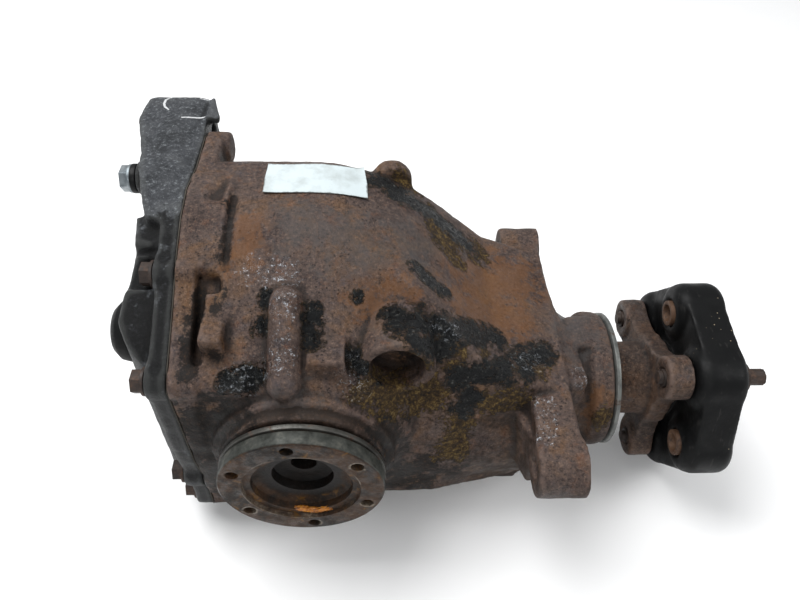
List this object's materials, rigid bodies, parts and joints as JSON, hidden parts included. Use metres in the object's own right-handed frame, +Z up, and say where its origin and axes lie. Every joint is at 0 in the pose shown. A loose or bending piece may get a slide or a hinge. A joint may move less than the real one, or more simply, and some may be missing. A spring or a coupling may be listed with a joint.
{
  "type": "rear axle differential",
  "caption": "Rear axle differential with cast housing, finned cover, flanged outputs and rubber disc coupling.",
  "frame": {"origin": "point on the output shafts' axis, in the vertical plane of the pinion's axis", "axes": "+X along the pinion's axis, forward to the propshaft; +Y along the output axis, to the crown wheel's side; +Z up"},
  "size_m": [0.434, 0.263, 0.23],
  "materials": {
    "cast_iron_rusty": "rusted grey iron casting with oily dirt",
    "cover_cast": "weathered dark sand casting",
    "gasket": "thin sealing gasket, squeezed out at the edge",
    "rusty_fastener": "rusted steel",
    "zinc": "bright zinc plate with a yellow tint",
    "black_plastic": "black moulded plastic",
    "rubber_black": "aged black rubber with pale dust",
    "plug_steel": "stained steel",
    "copper_seal": "crushed copper washer",
    "paper": "white paper label under clear tape",
    "seal_rubber": "oil seal rubber",
    "bearing_steel": "ground bearing steel",
    "cage_steel": "pressed steel",
    "carrier_iron": "oily cast iron",
    "gear_steel": "hardened gear steel, oily",
    "dark_steel": "blackened steel",
    "washer_bronze": "bronze",
    "flange_steel": "machined steel with rust and grease",
    "dust_ring_steel": "pressed steel, dull grey",
    "rusty_forging": "rusted steel forging",
    "rusty_sleeve": "rusted steel tube"
  },
  "bodies": {
    "housing_body": {"housing": "cast_iron_rusty", "rear_cover": "cover_cast", "cover_gasket": "gasket", "cover_bolts": "rusty_fastener", "mounting_bolt": "zinc", "bolt_spacer": "black_plastic", "rear_bush_cap": "rubber_black", "fill_plug": "plug_steel", "fill_plug_seal": "copper_seal", "drain_plug": "plug_steel", "drain_plug_seal": "copper_seal", "breather": "black_plastic", "label": "paper", "right_shaft_seal": "seal_rubber", "left_shaft_seal": "seal_rubber", "pinion_seal": "seal_rubber", "right_bearing_cup": "bearing_steel", "left_bearing_cup": "bearing_steel", "head_bearing_cup": "bearing_steel", "tail_bearing_cup": "bearing_steel"},
    "carrier_body": {"diff_case": "carrier_iron", "crown_wheel": "gear_steel", "crown_bolts": "dark_steel", "cross_pin": "bearing_steel", "cross_pin_lock": "bearing_steel", "right_bearing_cone": "bearing_steel", "left_bearing_cone": "bearing_steel", "right_thrust_washer": "washer_bronze", "left_thrust_washer": "washer_bronze", "spider_washer_top": "washer_bronze", "spider_washer_bottom": "washer_bronze"},
    "right_output_body": {"right_side_gear": "gear_steel", "right_output_flange": "flange_steel", "right_circlip": "dark_steel", "right_dust_ring": "dust_ring_steel"},
    "left_output_body": {"left_side_gear": "gear_steel", "left_output_flange": "flange_steel", "left_circlip": "dark_steel", "left_dust_ring": "dust_ring_steel"},
    "spider_top_body": {"spider_gear_top": "gear_steel"},
    "spider_bottom_body": {"spider_gear_bottom": "gear_steel"},
    "pinion_body": {"pinion": "gear_steel", "pinion_shim": "bearing_steel", "head_bearing_cone": "bearing_steel", "tail_bearing_cone": "bearing_steel", "crush_sleeve": "dark_steel", "input_flange": "rusty_forging", "input_dust_ring": "dust_ring_steel", "pinion_nut": "dark_steel", "coupling_disc": "rubber_black", "coupling_sleeves": "rusty_sleeve", "coupling_bolts": "rusty_fastener"},
    "right_cage_body": {"right_bearing_cage": "cage_steel", "right_bearing_rollers": "bearing_steel"},
    "left_cage_body": {"left_bearing_cage": "cage_steel", "left_bearing_rollers": "bearing_steel"},
    "head_cage_body": {"head_bearing_cage": "cage_steel", "head_bearing_rollers": "bearing_steel"},
    "tail_cage_body": {"tail_bearing_cage": "cage_steel", "tail_bearing_rollers": "bearing_steel"}
  },
  "joints": [
    {"name": "carrier_spin", "type": "hinge", "parent": "housing_body", "child": "carrier_body", "pos_m": [0, 0, 0], "axis": [0, 1, 0], "continuous": true},
    {"name": "pinion_spin", "type": "hinge", "parent": "housing_body", "child": "pinion_body", "pos_m": [0, 0, -0.03], "axis": [1, 0, 0], "continuous": true},
    {"name": "right_output_spin", "type": "hinge", "parent": "carrier_body", "child": "right_output_body", "pos_m": [0, 0, 0], "axis": [0, 1, 0], "continuous": true},
    {"name": "left_output_spin", "type": "hinge", "parent": "carrier_body", "child": "left_output_body", "pos_m": [0, 0, 0], "axis": [0, 1, 0], "continuous": true},
    {"name": "spider_top_spin", "type": "hinge", "parent": "carrier_body", "child": "spider_top_body", "pos_m": [0, 0, 0], "axis": [0, 0, 1], "continuous": true},
    {"name": "spider_bottom_spin", "type": "hinge", "parent": "carrier_body", "child": "spider_bottom_body", "pos_m": [0, 0, 0], "axis": [0, 0, 1], "continuous": true},
    {"name": "right_cage_spin", "type": "hinge", "parent": "housing_body", "child": "right_cage_body", "pos_m": [0, 0, 0], "axis": [0, 1, 0], "continuous": true},
    {"name": "left_cage_spin", "type": "hinge", "parent": "housing_body", "child": "left_cage_body", "pos_m": [0, 0, 0], "axis": [0, 1, 0], "continuous": true},
    {"name": "head_cage_spin", "type": "hinge", "parent": "housing_body", "child": "head_cage_body", "pos_m": [0, 0, -0.03], "axis": [1, 0, 0], "continuous": true},
    {"name": "tail_cage_spin", "type": "hinge", "parent": "housing_body", "child": "tail_cage_body", "pos_m": [0, 0, -0.03], "axis": [1, 0, 0], "continuous": true}
  ],
  "couplings": [
    {"joint": "pinion_spin", "follows": "carrier_spin", "ratio": -2.7857},
    {"joint": "left_output_spin", "follows": "right_output_spin", "ratio": -1},
    {"joint": "spider_top_spin", "follows": "right_output_spin", "ratio": 1.6},
    {"joint": "spider_bottom_spin", "follows": "right_output_spin", "ratio": -1.6},
    {"joint": "right_cage_spin", "follows": "carrier_spin", "ratio": 0.4454},
    {"joint": "left_cage_spin", "follows": "carrier_spin", "ratio": 0.4454},
    {"joint": "head_cage_spin", "follows": "carrier_spin", "ratio": -1.1785},
    {"joint": "tail_cage_spin", "follows": "carrier_spin", "ratio": -1.1924}
  ]
}
